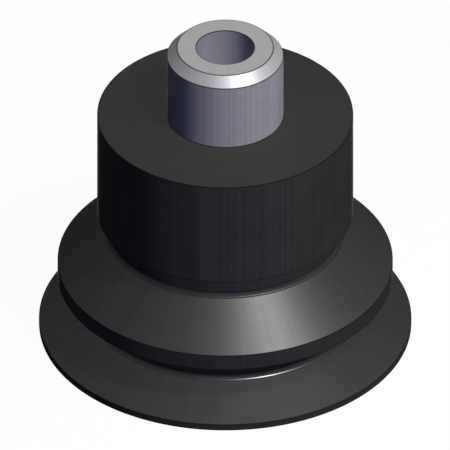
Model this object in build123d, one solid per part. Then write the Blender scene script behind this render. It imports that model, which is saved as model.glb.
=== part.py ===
from build123d import *
import os
from math import radians, tan

# Bellows suction cup: a moulded rubber cup with one fold, and a turned metal insert bonded in its body.
# Sizes are in millimetres. Heights are measured up from the plane that the lip seals on.

# Sealing lip
lip_diameter = 32.0
lip_edge_height = 0.6
land_width = 0.4          # flat ring that touches the workpiece
lip_inner_slope = 17.0    # degrees, underside of the lip

# Bellows, given by the corners of its outside
waist_diameter = 22.5
waist_height = 2.52
waist_fillet = 0.4
waist_wall = 0.75         # from the sharp waist corner in to the upright band inside it
fold_diameter = 28.8
fold_low = 5.25
fold_band = 1.45          # height of the upright band around the fold
bellows_wall = 1.1

# Neck and solid body
neck_diameter = 20.0
neck_low = 10.03          # where the upper cone would meet the neck
neck_fillet = 0.6
neck_wall = 1.3
body_diameter = 22.0
body_low = 12.0
body_top = 22.0
ceiling_height = 11.0     # top of the hollow, flush with the foot of the insert

# Metal insert
spigot_diameter = 10.0
spigot_height = 7.0       # above the body
spigot_chamfer = 0.85
bore_diameter = 5.0
shank_step = 0.5          # shoulder below the body's top, where the spigot narrows to its shank
flange_diameter = 16.0    # collar that keys the insert in the rubber
flange_low = 14.0
flange_thickness = 2.0

# Most of a side that the roundings at its two ends may use
corner_share = 0.49

lip_radius = lip_diameter / 2
waist_radius = waist_diameter / 2
fold_radius = fold_diameter / 2
neck_radius = neck_diameter / 2
body_radius = body_diameter / 2
spigot_radius = spigot_diameter / 2
shank_radius = spigot_radius - shank_step
flange_radius = flange_diameter / 2
bore_radius = bore_diameter / 2
fold_top = fold_low + fold_band
flange_top = flange_low + flange_thickness
spigot_top = body_top + spigot_height


def inner_face(low, high, wall):
    """The line of a wall's inner face, where its outer face runs up from low to high."""
    start = Vector(*low)
    along = (Vector(*high) - start).normalized()
    inward = Vector(-along.Y, along.X)
    return start + inward * wall, along


def meeting(first, second):
    """The point where two lines cross, each given as a point and a direction."""
    first_point, first_way = first
    second_point, second_way = second
    gap = second_point - first_point
    reach = gap.cross(second_way).Z / first_way.cross(second_way).Z
    point = first_point + first_way * reach
    return point.X, point.Y


def fitting_fillet(before, corner, after, radius):
    """The radius at a corner, or the largest that its two sides leave room for."""
    back = Vector(*before) - Vector(*corner)
    ahead = Vector(*after) - Vector(*corner)
    room = corner_share * min(back.length, ahead.length)
    half_turn = radians(180 - back.get_angle(ahead)) / 2
    return min(radius, room / tan(half_turn))


def turned(corners):
    """Solid of revolution, from the corners of its half section as radius, height and rounding."""
    points = [(radius, height) for radius, height, rounding in corners]
    roundings = []
    for place, (radius, height, rounding) in enumerate(corners):
        following = points[(place + 1) % len(points)]
        roundings.append(fitting_fillet(points[place - 1], points[place], following, rounding))
    outline = FilletPolyline(*points, radius=roundings, close=True)
    return revolve(Plane.XZ * make_face(outline), Axis.Z)


# Outline of the insert where the rubber grips it, from the ceiling of the hollow up to the body's top
bond = [
    (shank_radius, ceiling_height, 0),
    (shank_radius, flange_low, 0),
    (flange_radius, flange_low, 0),
    (flange_radius, flange_top, 0),
    (shank_radius, flange_top, 0),
    (shank_radius, body_top - shank_step, 0),
    (spigot_radius, body_top, 0),
]


def make_insert():
    """Turned nipple with a collar, a chamfered end and a smooth bore right through."""
    foot = [(bore_radius, ceiling_height, 0)]
    head = [
        (spigot_radius, spigot_top - spigot_chamfer, 0),
        (spigot_radius - spigot_chamfer, spigot_top, 0),
        (bore_radius, spigot_top, 0),
    ]
    return turned(foot + bond + head)


def make_cup():
    """Moulded cup: flared lip, one bellows fold of even wall, neck and solid body around the insert."""
    lip_corner = (lip_radius, lip_edge_height)
    waist_corner = (waist_radius, waist_height)
    fold_low_corner = (fold_radius, fold_low)
    fold_top_corner = (fold_radius, fold_top)
    neck_corner = (neck_radius, neck_low)

    outside = [
        (lip_radius, 0, 0),
        (*lip_corner, 0),
        (*waist_corner, waist_fillet),
        (*fold_low_corner, 0),
        (*fold_top_corner, 0),
        (*neck_corner, neck_fillet),
        (neck_radius, body_low, 0),
        (body_radius, body_low, 0),
        (body_radius, body_top, 0),
    ]

    land_inner = lip_radius - land_width
    neck_inner = neck_radius - neck_wall
    lip_underside = (Vector(land_inner, 0), Vector(-1, tan(radians(lip_inner_slope))))
    lower_cone = inner_face(waist_corner, fold_low_corner, bellows_wall)
    upper_cone = inner_face(fold_top_corner, neck_corner, bellows_wall)
    fold_band_inside = inner_face(fold_low_corner, fold_top_corner, bellows_wall)
    waist_inside = (Vector(waist_radius - waist_wall, 0), Vector(0, 1))
    neck_inside = (Vector(neck_inner, 0), Vector(0, 1))

    inside = [
        (neck_inner, ceiling_height, 0),
        (*meeting(upper_cone, neck_inside), 0),
        (*meeting(upper_cone, fold_band_inside), 0),
        (*meeting(lower_cone, fold_band_inside), 0),
        (*meeting(lower_cone, waist_inside), 0),
        (*meeting(lip_underside, waist_inside), 0),
        (land_inner, 0, 0),
    ]
    return turned(outside + bond[::-1] + inside)


os.makedirs("parts", exist_ok=True)
export_step(make_cup(), "parts/bellows_cup.step")
export_step(make_insert(), "parts/metal_insert.step")
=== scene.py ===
from math import asin, ceil, cos, pi, radians, sin, tan

import bpy
from mathutils import Matrix, Vector


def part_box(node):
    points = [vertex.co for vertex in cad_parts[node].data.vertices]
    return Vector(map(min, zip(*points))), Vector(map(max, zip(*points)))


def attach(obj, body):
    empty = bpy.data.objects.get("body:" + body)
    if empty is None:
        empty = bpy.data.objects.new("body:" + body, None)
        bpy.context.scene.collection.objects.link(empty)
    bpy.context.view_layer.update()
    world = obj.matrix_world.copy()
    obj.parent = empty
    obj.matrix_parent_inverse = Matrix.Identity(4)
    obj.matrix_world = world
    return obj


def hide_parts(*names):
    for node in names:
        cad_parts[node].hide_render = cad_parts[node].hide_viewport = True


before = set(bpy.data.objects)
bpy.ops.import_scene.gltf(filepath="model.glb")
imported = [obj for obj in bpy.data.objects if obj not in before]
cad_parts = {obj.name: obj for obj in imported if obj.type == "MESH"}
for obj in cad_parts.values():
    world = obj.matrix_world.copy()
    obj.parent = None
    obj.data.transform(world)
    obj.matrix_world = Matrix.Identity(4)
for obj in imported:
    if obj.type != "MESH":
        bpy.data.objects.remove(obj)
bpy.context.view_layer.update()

MM = 0.001

# Overall sizes, read from the frame
cup_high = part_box("bellows_cup")[1]
insert_low, insert_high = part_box("metal_insert")
LIP_RADIUS = cup_high.x
BODY_TOP = cup_high.z
COLLAR_RADIUS = insert_high.x
INSERT_FOOT = insert_low.z
SPIGOT_TOP = insert_high.z

# Outside of the cup
LIP_EDGE_HEIGHT = 0.6 * MM
WAIST_RADIUS = 11.25 * MM
WAIST_HEIGHT = 2.52 * MM
WAIST_FILLET = 0.4 * MM
FOLD_RADIUS = 14.4 * MM
FOLD_LOW = 5.25 * MM
FOLD_TOP = 6.7 * MM
NECK_RADIUS = 10.0 * MM
NECK_LOW = 10.03 * MM
NECK_FILLET = 0.6 * MM
BODY_RADIUS = 11.0 * MM
BODY_LOW = 12.0 * MM

# Inside of the cup
LAND_WIDTH = 0.4 * MM
LIP_INNER_SLOPE = radians(17.0)
BELLOWS_WALL = 1.1 * MM
WAIST_WALL = 0.75 * MM
NECK_WALL = 1.3 * MM
CORE_FILLET = 0.35 * MM

# Metal insert
SPIGOT_RADIUS = 5.0 * MM
SHANK_STEP = 0.5 * MM
SHANK_RADIUS = SPIGOT_RADIUS - SHANK_STEP
SPIGOT_CHAMFER = 0.85 * MM
BORE_RADIUS = 2.5 * MM
COLLAR_LOW = 14.0 * MM
COLLAR_TOP = 16.0 * MM

# Roundings that every moulded or turned edge has
RUBBER_EDGE = 0.03 * MM
METAL_EDGE = 0.03 * MM

# Meshes
STEPS_AROUND = 288
ROUNDING_STEP = radians(11.0)      # the most that one step of a rounding turns
FEWEST_STEPS = 3                   # in a rounding
CORNER_SHARE = 0.49                # most of a side that the rounding at one of its ends may use

# Thin dark lines along the edges, kept as a value of the mesh's points. The points that end them
# also keep the shading of the long faces even.
EDGE_LINES = "edge_lines"
SHARPEST_FILLET = 0.1 * MM         # a smaller rounding is dark all over, a larger one at its ends
LINE_REACH = 0.04 * MM             # onto the faces beside the rounding
LINE_FADE = 0.02 * MM
SHORTEST_FACE = 4 * (LINE_REACH + LINE_FADE)

# Materials: colours of each zone, from the darkest to the palest of its pattern
RUBBER_BELLOWS = (0.035, 0.035, 0.036), (0.047, 0.047, 0.048)
RUBBER_BODY = (0.030, 0.030, 0.031), (0.052, 0.052, 0.053)
# The flat top's colour is darker than the bellows' colour: painted shade.
RUBBER_TOP_PAINTED_SHADE = (0.024, 0.024, 0.0235), (0.032, 0.032, 0.0315)
# The wall's colour is darker and bluer than the end's: painted shade and painted cool light.
METAL_WALL_PAINTED_COOL_SHADE = (0.325, 0.325, 0.35), (0.435, 0.435, 0.465)
METAL_END = (0.39, 0.39, 0.395), (0.44, 0.44, 0.445)
# The bevel's colour is brighter than the wall's: partly its turned finish, partly a painted highlight.
METAL_BEVEL_WITH_PAINTED_HIGHLIGHT = (0.53, 0.53, 0.55), (0.59, 0.59, 0.61)
# The bore's colour is darker and bluer than the wall's: painted shade and painted cool light.
METAL_BORE_PAINTED_SHADE = (0.26, 0.26, 0.295), (0.34, 0.34, 0.38)
RUBBER_LINE = 0.1                  # share of the colour that is left on a dark line
METAL_LINE = 0.2

# Materials: zones of the cup, by height
WAIST_ZONE = 2.3 * MM, 2.6 * MM
UNDER_FOLD_ZONE = 3.0 * MM, 5.22 * MM
NECK_ZONE = 9.9 * MM, 10.25 * MM
ZONE_BLUR = 0.05 * MM

# Camera: isometric, at the photograph's scale
VIEW_ELEVATION = asin(tan(radians(30.0)))
PHOTO_SIZE = 450
MM_PER_PIXEL = 2 * 16.0 / 372.5
AXIS_COLUMN = 225.17
FOOT_ROW = 323.05
CAMERA_DISTANCE = 0.4

# Stage
STAGE_RADIUS = 0.6
STAGE_STEPS = 64
FLOOR_HEIGHT = -0.01 * MM
BACKDROP_LOW = -0.06
BACKDROP_TOP = 0.1
LAMP_AIM = Vector((0, 0, 0.012))


def inner_face(low, high, wall):
    """The line of a wall's inner face, where its outer face runs up from low to high."""
    start = Vector(low)
    along = (Vector(high) - start).normalized()
    inward = Vector((-along.y, along.x))
    return start + inward * wall, along


def meeting(first, second):
    """The point where two lines cross, each given as a point and a direction."""
    first_point, first_way = first
    second_point, second_way = second
    gap = second_point - first_point
    reach = gap.cross(second_way) / first_way.cross(second_way)
    point = first_point + first_way * reach
    return point.x, point.y


def rounded(before, corner, after, radius):
    """The points that take a section round one corner, on an arc of that radius or of what fits."""
    back = Vector(before) - Vector(corner)
    ahead = Vector(after) - Vector(corner)
    half_turn = (pi - back.angle(ahead)) / 2
    room = CORNER_SHARE * min(back.length, ahead.length)
    cut = min(radius * tan(half_turn), room)
    radius = cut / tan(half_turn)
    back.normalize()
    ahead.normalize()
    centre = Vector(corner) + (back + ahead).normalized() * (radius / cos(half_turn))
    start = Vector(corner) + back * cut - centre
    side = 1 if back.cross(ahead) < 0 else -1
    steps = max(FEWEST_STEPS, ceil(2 * half_turn / ROUNDING_STEP))
    points = []
    for step in range(steps + 1):
        angle = side * 2 * half_turn * step / steps
        points.append(centre + Matrix.Rotation(angle, 2) @ start)
    return points


def section(corners):
    """A closed half section from corners of radius, height and rounding: its points, and for each
    point 1 where a thin dark line runs round the piece."""
    places = [(radius, height) for radius, height, rounding in corners]
    outline = []
    for index, (radius, height, rounding) in enumerate(corners):
        following = places[(index + 1) % len(places)]
        arc = rounded(places[index - 1], places[index], following, rounding)
        sharp = rounding <= SHARPEST_FILLET
        outline += [(point, sharp or point in (arc[0], arc[-1])) for point in arc]
    points, lined = [], []
    for index, (point, line) in enumerate(outline):
        points.append(point)
        lined.append(float(line))
        run = outline[(index + 1) % len(outline)][0] - point
        if run.length > SHORTEST_FACE:
            near = run.normalized() * LINE_REACH
            far = run.normalized() * (LINE_REACH + LINE_FADE)
            points += [point + near, point + far, point + run - far, point + run - near]
            lined += [1.0, 0.0, 0.0, 1.0]
    return points, lined


def add_object(name, data):
    """A new object in the scene."""
    thing = bpy.data.objects.new(name, data)
    bpy.context.scene.collection.objects.link(thing)
    return thing


def lathe(name, corners):
    """A closed mesh, made by turning a half section round the axis."""
    points, lined = section(corners)
    count = len(points)
    vertices = []
    for step in range(STEPS_AROUND):
        angle = 2 * pi * step / STEPS_AROUND
        for point in points:
            vertices.append((point.x * cos(angle), point.x * sin(angle), point.y))
    faces = []
    for step in range(STEPS_AROUND):
        here = step * count
        there = (step + 1) % STEPS_AROUND * count
        for index in range(count):
            after = (index + 1) % count
            faces.append((here + index, there + index, there + after, here + after))
    mesh = bpy.data.meshes.new(name)
    mesh.from_pydata(vertices, [], faces)
    lines = mesh.attributes.new(EDGE_LINES, "FLOAT", "POINT")
    lines.data.foreach_set("value", lined * STEPS_AROUND)
    mesh.shade_smooth()
    return add_object(name, mesh)


def cup_corners():
    """Corners of the cup's half section: outside going up, bond with the insert, inside going down."""
    lip_corner = (LIP_RADIUS, LIP_EDGE_HEIGHT)
    waist_corner = (WAIST_RADIUS, WAIST_HEIGHT)
    fold_low_corner = (FOLD_RADIUS, FOLD_LOW)
    fold_top_corner = (FOLD_RADIUS, FOLD_TOP)
    neck_corner = (NECK_RADIUS, NECK_LOW)
    up = Vector((0, 1))
    land_inner = LIP_RADIUS - LAND_WIDTH
    lip_underside = (Vector((land_inner, 0)), Vector((-1, tan(LIP_INNER_SLOPE))))
    lower_cone = inner_face(waist_corner, fold_low_corner, BELLOWS_WALL)
    upper_cone = inner_face(fold_top_corner, neck_corner, BELLOWS_WALL)
    fold_inside = inner_face(fold_low_corner, fold_top_corner, BELLOWS_WALL)
    waist_inside = (Vector((WAIST_RADIUS - WAIST_WALL, 0)), up)
    neck_inside = (Vector((NECK_RADIUS - NECK_WALL, 0)), up)
    return [
        (LIP_RADIUS, 0, RUBBER_EDGE),
        (*lip_corner, RUBBER_EDGE),
        (*waist_corner, WAIST_FILLET),
        (*fold_low_corner, RUBBER_EDGE),
        (*fold_top_corner, RUBBER_EDGE),
        (*neck_corner, NECK_FILLET),
        (NECK_RADIUS, BODY_LOW, RUBBER_EDGE),
        (BODY_RADIUS, BODY_LOW, RUBBER_EDGE),
        (BODY_RADIUS, BODY_TOP, RUBBER_EDGE),
        (SPIGOT_RADIUS, BODY_TOP, RUBBER_EDGE),
        (SHANK_RADIUS, BODY_TOP - SHANK_STEP, METAL_EDGE),
        (SHANK_RADIUS, COLLAR_TOP, METAL_EDGE),
        (COLLAR_RADIUS, COLLAR_TOP, METAL_EDGE),
        (COLLAR_RADIUS, COLLAR_LOW, METAL_EDGE),
        (SHANK_RADIUS, COLLAR_LOW, METAL_EDGE),
        (SHANK_RADIUS, INSERT_FOOT, RUBBER_EDGE),
        (NECK_RADIUS - NECK_WALL, INSERT_FOOT, CORE_FILLET),
        (*meeting(upper_cone, neck_inside), CORE_FILLET),
        (*meeting(upper_cone, fold_inside), CORE_FILLET),
        (*meeting(lower_cone, fold_inside), CORE_FILLET),
        (*meeting(lower_cone, waist_inside), CORE_FILLET),
        (*meeting(lip_underside, waist_inside), CORE_FILLET),
        (land_inner, 0, RUBBER_EDGE),
    ]


def insert_corners():
    """Corners of the insert's half section: up the outside, then down the bore."""
    return [
        (BORE_RADIUS, INSERT_FOOT, METAL_EDGE),
        (SHANK_RADIUS, INSERT_FOOT, METAL_EDGE),
        (SHANK_RADIUS, COLLAR_LOW, METAL_EDGE),
        (COLLAR_RADIUS, COLLAR_LOW, METAL_EDGE),
        (COLLAR_RADIUS, COLLAR_TOP, METAL_EDGE),
        (SHANK_RADIUS, COLLAR_TOP, METAL_EDGE),
        (SHANK_RADIUS, BODY_TOP - SHANK_STEP, METAL_EDGE),
        (SPIGOT_RADIUS, BODY_TOP, METAL_EDGE),
        (SPIGOT_RADIUS, SPIGOT_TOP - SPIGOT_CHAMFER, METAL_EDGE),
        (SPIGOT_RADIUS - SPIGOT_CHAMFER, SPIGOT_TOP, METAL_EDGE),
        (BORE_RADIUS, SPIGOT_TOP, METAL_EDGE),
    ]


class Nodes:
    """A material's or world's node tree, with short calls to add and join its nodes."""

    def __init__(self, owner):
        owner.use_nodes = True
        self.tree = owner.node_tree
        self.tree.nodes.clear()

    def add(self, kind, **settings):
        node = self.tree.nodes.new(kind)
        for name, value in settings.items():
            setattr(node, name, value)
        return node

    def join(self, output, entry):
        self.tree.links.new(output, entry)

    def show(self, shader, kind="ShaderNodeOutputMaterial"):
        """Make a shader the surface of the material or world."""
        self.join(shader.outputs[0], self.add(kind).inputs["Surface"])

    def math(self, operation, *values):
        """The output of one sum on numbers or sockets."""
        node = self.add("ShaderNodeMath", operation=operation)
        for entry, value in zip(node.inputs, values):
            if isinstance(value, (int, float)):
                entry.default_value = value
            else:
                self.join(value, entry)
        return node.outputs[0]

    def plus(self, base, *parts):
        """A value with other values added to it, each times its weight."""
        for value, weight in parts:
            base = self.math("MULTIPLY_ADD", value, weight, base)
        return base

    def span(self, value, low, high, start=0.35, end=0.65):
        """From low to high while the value goes from start to end, which hold most of a noise."""
        node = self.add("ShaderNodeMapRange")
        for name, number in (("From Min", start), ("From Max", end), ("To Min", low), ("To Max", high)):
            node.inputs[name].default_value = number
        self.join(value, node.inputs["Value"])
        return node.outputs["Result"]

    def past(self, value, place):
        """0 short of a place, and 1 past it."""
        return self.span(value, 0.0, 1.0, place - ZONE_BLUR, place + ZONE_BLUR)

    def between(self, value, low, high):
        """1 between two places, and 0 beyond them."""
        short_of_high = self.span(value, 1.0, 0.0, high - ZONE_BLUR, high + ZONE_BLUR)
        return self.math("MULTIPLY", self.past(value, low), short_of_high)

    def place(self):
        """The point on the object."""
        return self.add("ShaderNodeTexCoord").outputs["Object"]

    def height(self, place):
        """A point's height."""
        parts = self.add("ShaderNodeSeparateXYZ")
        self.join(place, parts.inputs[0])
        return parts.outputs["Z"]

    def from_axis(self, place, operation):
        """The node of one vector sum on the way from the axis straight out to a point."""
        flat = self.add("ShaderNodeVectorMath", operation="MULTIPLY")
        flat.inputs[1].default_value = (1, 1, 0)
        self.join(place, flat.inputs[0])
        node = self.add("ShaderNodeVectorMath", operation=operation)
        self.join(flat.outputs["Vector"], node.inputs[0])
        return node

    def distance(self, place):
        """A point's distance from the axis."""
        return self.from_axis(place, "LENGTH").outputs["Value"]

    def bearing(self, place):
        """A point's direction from the axis, the same at every height."""
        return self.from_axis(place, "NORMALIZE").outputs["Vector"]

    def noise(self, coordinate, scale, detail=2.0, roughness=0.5):
        """A noise pattern, from 0 to 1."""
        node = self.add("ShaderNodeTexNoise")
        node.inputs["Scale"].default_value = scale
        node.inputs["Detail"].default_value = detail
        node.inputs["Roughness"].default_value = roughness
        self.join(coordinate, node.inputs["Vector"])
        return node.outputs["Fac"]

    def shades(self, value, first, second):
        """A colour between two shades, each given as numbers or as a socket."""
        node = self.add("ShaderNodeMix", data_type="RGBA")
        self.join(value, node.inputs["Factor"])
        for entry, shade in zip((node.inputs["A"], node.inputs["B"]), (first, second)):
            if isinstance(shade, tuple):
                entry.default_value = (*shade, 1)
            else:
                self.join(shade, entry)
        return node.outputs["Result"]

    def edge_lines(self):
        """1 on the thin dark lines along the edges, and 0 beside them."""
        return self.add("ShaderNodeAttribute", attribute_name=EDGE_LINES).outputs["Fac"]

    def lined(self, colour, share):
        """A colour that darkens to that share of itself on the lines along the edges."""
        node = self.add("ShaderNodeVectorMath", operation="SCALE")
        self.join(colour, node.inputs[0])
        self.join(self.span(self.edge_lines(), 1.0, share, 0.0, 1.0), node.inputs["Scale"])
        return node.outputs["Vector"]

    def bump(self, height, distance, normal=None):
        """A surface relief of that depth, over another one if it is given."""
        node = self.add("ShaderNodeBump")
        node.inputs["Distance"].default_value = distance
        self.join(height, node.inputs["Height"])
        if normal is not None:
            self.join(normal, node.inputs["Normal"])
        return node.outputs["Normal"]


def rubber_material():
    """Near-black moulded rubber with fine grain, faint mottling and streaks drawn down its walls. It
    is matt on the flat top and under the fold, and polished in the fillets that flex."""
    material = bpy.data.materials.new("moulded_rubber")
    nodes = Nodes(material)
    shader = nodes.add("ShaderNodeBsdfPrincipled")
    place = nodes.place()
    height = nodes.height(place)
    grain = nodes.noise(place, 7000.0, detail=3.0, roughness=0.6)
    mottle = nodes.noise(place, 420.0, detail=3.0)
    streaks = nodes.noise(nodes.bearing(place), 40.0, detail=3.0, roughness=0.7)
    body = nodes.span(height, 0.0, 1.0, BODY_LOW - RUBBER_EDGE, BODY_LOW)
    flat_top = nodes.span(height, 0.0, 1.0, BODY_TOP - RUBBER_EDGE, BODY_TOP)
    under_fold = nodes.between(height, *UNDER_FOLD_ZONE)
    waist = nodes.between(height, *WAIST_ZONE)
    neck = nodes.between(height, *NECK_ZONE)

    # On the flat top a level value stands in for the streaks
    top_level = 0.25
    side = nodes.math("SUBTRACT", 1.0, flat_top)
    drawn = nodes.plus(-top_level, (streaks, 0.75))
    uneven = nodes.plus(top_level, (side, drawn), (mottle, 0.25))

    pattern = nodes.span(uneven, 0.0, 1.0)
    shade = nodes.shades(body, nodes.shades(pattern, *RUBBER_BELLOWS), nodes.shades(pattern, *RUBBER_BODY))
    # The flat top gets a darker colour than the rest: painted shade.
    shade = nodes.shades(flat_top, shade, nodes.shades(pattern, *RUBBER_TOP_PAINTED_SHADE))
    nodes.join(nodes.lined(shade, RUBBER_LINE), shader.inputs["Base Color"])

    fillets = nodes.math("MAXIMUM", waist, neck)
    rough = nodes.plus(nodes.span(uneven, 0.45, 0.43), (flat_top, 0.35), (under_fold, 0.55),
                       (fillets, -0.18), (nodes.edge_lines(), 0.4))
    nodes.join(rough, shader.inputs["Roughness"])
    shader.inputs["Specular IOR Level"].default_value = 0.55
    nodes.join(waist, shader.inputs["Coat Weight"])
    shader.inputs["Coat Roughness"].default_value = 0.3
    broad = nodes.bump(mottle, 0.003 * MM)
    nodes.join(nodes.bump(grain, 0.002 * MM, broad), shader.inputs["Normal"])
    nodes.show(shader)
    return material


def metal_material():
    """Satin drawn metal with fine lines along the axis. Its bevel is brighter, partly from its turned
    finish and partly as a painted highlight, and its bore is darker and bluer as painted shade and painted
    cool light.
    """
    material = bpy.data.materials.new("satin_metal")
    nodes = Nodes(material)
    shader = nodes.add("ShaderNodeBsdfPrincipled")
    place = nodes.place()
    height = nodes.height(place)
    distance = nodes.distance(place)
    lines = nodes.noise(nodes.bearing(place), 24.0, detail=4.0, roughness=0.7)
    cloud = nodes.noise(place, 900.0, detail=3.0)
    grain = nodes.noise(place, 9000.0)
    end = nodes.span(height, 0.0, 1.0, SPIGOT_TOP - METAL_EDGE, SPIGOT_TOP)
    bevel = nodes.math("MULTIPLY", nodes.past(height, SPIGOT_TOP - SPIGOT_CHAMFER),
                       nodes.past(distance, SPIGOT_RADIUS - SPIGOT_CHAMFER))
    # Painted shade: the bore gets a darker, bluer colour.
    bore = nodes.span(distance, 1.0, 0.0, BORE_RADIUS, BORE_RADIUS + METAL_EDGE)
    uneven = nodes.plus(0.0, (lines, 0.8), (cloud, 0.2))

    pattern = nodes.span(uneven, 0.0, 1.0)
    # The wall takes a darker, bluer colour than the end: painted shade and painted cool light.
    shade = nodes.shades(end, nodes.shades(pattern, *METAL_WALL_PAINTED_COOL_SHADE), nodes.shades(pattern, *METAL_END))
    # The bevel gets a brighter colour: partly its turned finish, partly a painted highlight.
    shade = nodes.shades(bevel, shade, nodes.shades(pattern, *METAL_BEVEL_WITH_PAINTED_HIGHLIGHT))
    shade = nodes.shades(bore, shade, nodes.shades(pattern, *METAL_BORE_PAINTED_SHADE))
    nodes.join(nodes.lined(shade, METAL_LINE), shader.inputs["Base Color"])

    nodes.join(nodes.span(bevel, 0.05, 0.4, 0.0, 1.0), shader.inputs["Metallic"])
    rough = nodes.plus(nodes.span(uneven, 0.62, 0.70, 0.3, 0.7), (bevel, -0.16))
    nodes.join(rough, shader.inputs["Roughness"])
    shader.inputs["Specular IOR Level"].default_value = 0.2
    nodes.join(nodes.bump(grain, 0.001 * MM), shader.inputs["Normal"])
    nodes.show(shader)
    return material


def shown_background(nodes):
    """1 where the background is seen directly or through something, and less in a reflection."""
    path = nodes.add("ShaderNodeLightPath")
    mirrored = nodes.math("MULTIPLY", path.outputs["Is Glossy Ray"], 0.15)
    seen = nodes.math("MAXIMUM", path.outputs["Is Camera Ray"], mirrored)
    return nodes.math("MAXIMUM", seen, path.outputs["Is Transmission Ray"])


def stage_material(name, grey, glow_level):
    """White where it is seen, while it gives little light back to the object. It is dark under the
    cup, where only the bore lets it show."""
    material = bpy.data.materials.new(name)
    material.cycles.emission_sampling = "NONE"
    nodes = Nodes(material)
    matt = nodes.add("ShaderNodeBsdfDiffuse")
    matt.inputs["Color"].default_value = (grey, grey, grey, 1)
    cup_edge = LIP_RADIUS - 0.5 * MM, LIP_RADIUS - 0.1 * MM
    level = nodes.span(nodes.distance(nodes.place()), 0.0, glow_level, *cup_edge)
    glow = nodes.add("ShaderNodeEmission")
    nodes.join(nodes.math("MULTIPLY", shown_background(nodes), level), glow.inputs["Strength"])
    both = nodes.add("ShaderNodeAddShader")
    nodes.join(matt.outputs[0], both.inputs[0])
    nodes.join(glow.outputs[0], both.inputs[1])
    nodes.show(both)
    return material


def stage_piece(name, vertices, faces, material):
    """A piece of the stage, which isn't part of the object."""
    mesh = bpy.data.meshes.new(name)
    mesh.from_pydata(vertices, [], faces)
    mesh.materials.append(material)
    piece = add_object(name, mesh)
    return piece


def ring(height):
    """The points of the stage's rim at that height."""
    angles = [2 * pi * step / STAGE_STEPS for step in range(STAGE_STEPS)]
    return [(STAGE_RADIUS * cos(angle), STAGE_RADIUS * sin(angle), height) for angle in angles]


def make_stage():
    """A round white floor just under the lip, inside a low white wall."""
    floor = stage_piece("floor", ring(FLOOR_HEIGHT), [list(range(STAGE_STEPS))],
                        stage_material("white_floor", grey=0.3, glow_level=0.96))
    faces = []
    for step in range(STAGE_STEPS):
        after = (step + 1) % STAGE_STEPS
        faces.append((step, after, STAGE_STEPS + after, STAGE_STEPS + step))
    backdrop = stage_piece("backdrop", ring(BACKDROP_LOW) + ring(BACKDROP_TOP), faces,
                           stage_material("white_backdrop", grey=0.08, glow_level=1.0))
    return floor, backdrop


def make_world():
    """Dim, slightly cool studio light from all round."""
    world = bpy.data.worlds.new("studio")
    bpy.context.scene.world = world
    nodes = Nodes(world)
    dim = nodes.add("ShaderNodeBackground")
    dim.inputs["Color"].default_value = (0.7, 0.75, 1.0, 1)
    dim.inputs["Strength"].default_value = 0.017
    nodes.show(dim, "ShaderNodeOutputWorld")


def direction(azimuth, elevation):
    """From the object, azimuth degrees right of the front and elevation degrees up."""
    around, up = radians(azimuth), radians(elevation)
    return Vector((sin(around) * cos(up), -cos(around) * cos(up), sin(up)))


def make_lamp(name, azimuth, elevation, distance, width, height, level, colour=(1, 1, 1), shadow=True):
    """A softbox that faces the object. At level 1 a white face turned to it renders white."""
    light = bpy.data.lights.new(name, "AREA")
    light.shape = "RECTANGLE"
    light.size = width
    light.size_y = height
    light.energy = level * pi * pi * distance ** 2
    light.color = colour
    light.use_shadow = shadow
    lamp = add_object(name, light)
    towards = direction(azimuth, elevation)
    lamp.location = LAMP_AIM + towards * distance
    lamp.rotation_euler = towards.to_track_quat("Z", "Y").to_euler()
    return lamp


def make_camera():
    """Orthographic isometric camera that sees the object where the photograph has it."""
    pixel = MM_PER_PIXEL * MM
    centre = PHOTO_SIZE / 2
    target = Vector((
        (centre - AXIS_COLUMN) * pixel,
        0,
        (FOOT_ROW - centre) * pixel / cos(VIEW_ELEVATION),
    ))
    data = bpy.data.cameras.new("camera")
    data.type = "ORTHO"
    data.ortho_scale = PHOTO_SIZE * pixel
    data.clip_start = 0.01
    data.clip_end = 10.0
    camera = add_object("camera", data)
    back = Vector((0, -cos(VIEW_ELEVATION), sin(VIEW_ELEVATION)))
    camera.location = target + back * CAMERA_DISTANCE
    camera.rotation_mode = "QUATERNION"
    camera.rotation_quaternion = back.to_track_quat("Z", "Y")
    bpy.context.scene.camera = camera


def make_piece(name, corners, material, node):
    """A turned piece of the object, in place of its CAD node."""
    piece = lathe(name, corners)
    piece.data.materials.append(material)
    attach(piece, "root")
    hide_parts(node)
    return piece


def keep_off(piece, sources):
    """These lamps or glowing stage pieces don't light this piece."""
    flagged = bpy.data.collections.new("kept_off_" + piece.name)
    flagged.objects.link(piece)
    flagged.collection_objects[0].light_linking.link_state = "EXCLUDE"
    for source in sources:
        source.light_linking.receiver_collection = flagged


make_camera()
make_world()
floor, backdrop = make_stage()

# The key light is two lamps in one place, of which only the weak one casts a shadow. The cool lamp
# tints the metal, and the one from behind and below keeps the back readable.
KEY = {"azimuth": 46, "elevation": 58, "distance": 0.3, "width": 0.045, "height": 0.045}
make_lamp("key", level=0.12, **KEY)
open_key = make_lamp("open_key", level=0.85, shadow=False, **KEY)
cool = make_lamp("cool", azimuth=4, elevation=15, distance=0.4, width=0.3, height=0.3,
                 level=0.11, colour=(0.26, 0.28, 1.0), shadow=False)
back = make_lamp("back", azimuth=180, elevation=-31, distance=0.4, width=0.18, height=0.08,
                 level=0.22, colour=(0.9, 0.93, 1.0), shadow=False)

cup = make_piece("rubber_cup", cup_corners(), rubber_material(), "bellows_cup")
make_piece("turned_insert", insert_corners(), metal_material(), "metal_insert")

# The rubber doesn't mirror the white stage, and the floor isn't lit by lamps without a shadow
keep_off(cup, [floor, backdrop])
keep_off(floor, [open_key, cool, back])

bpy.context.scene.view_settings.view_transform = "Standard"
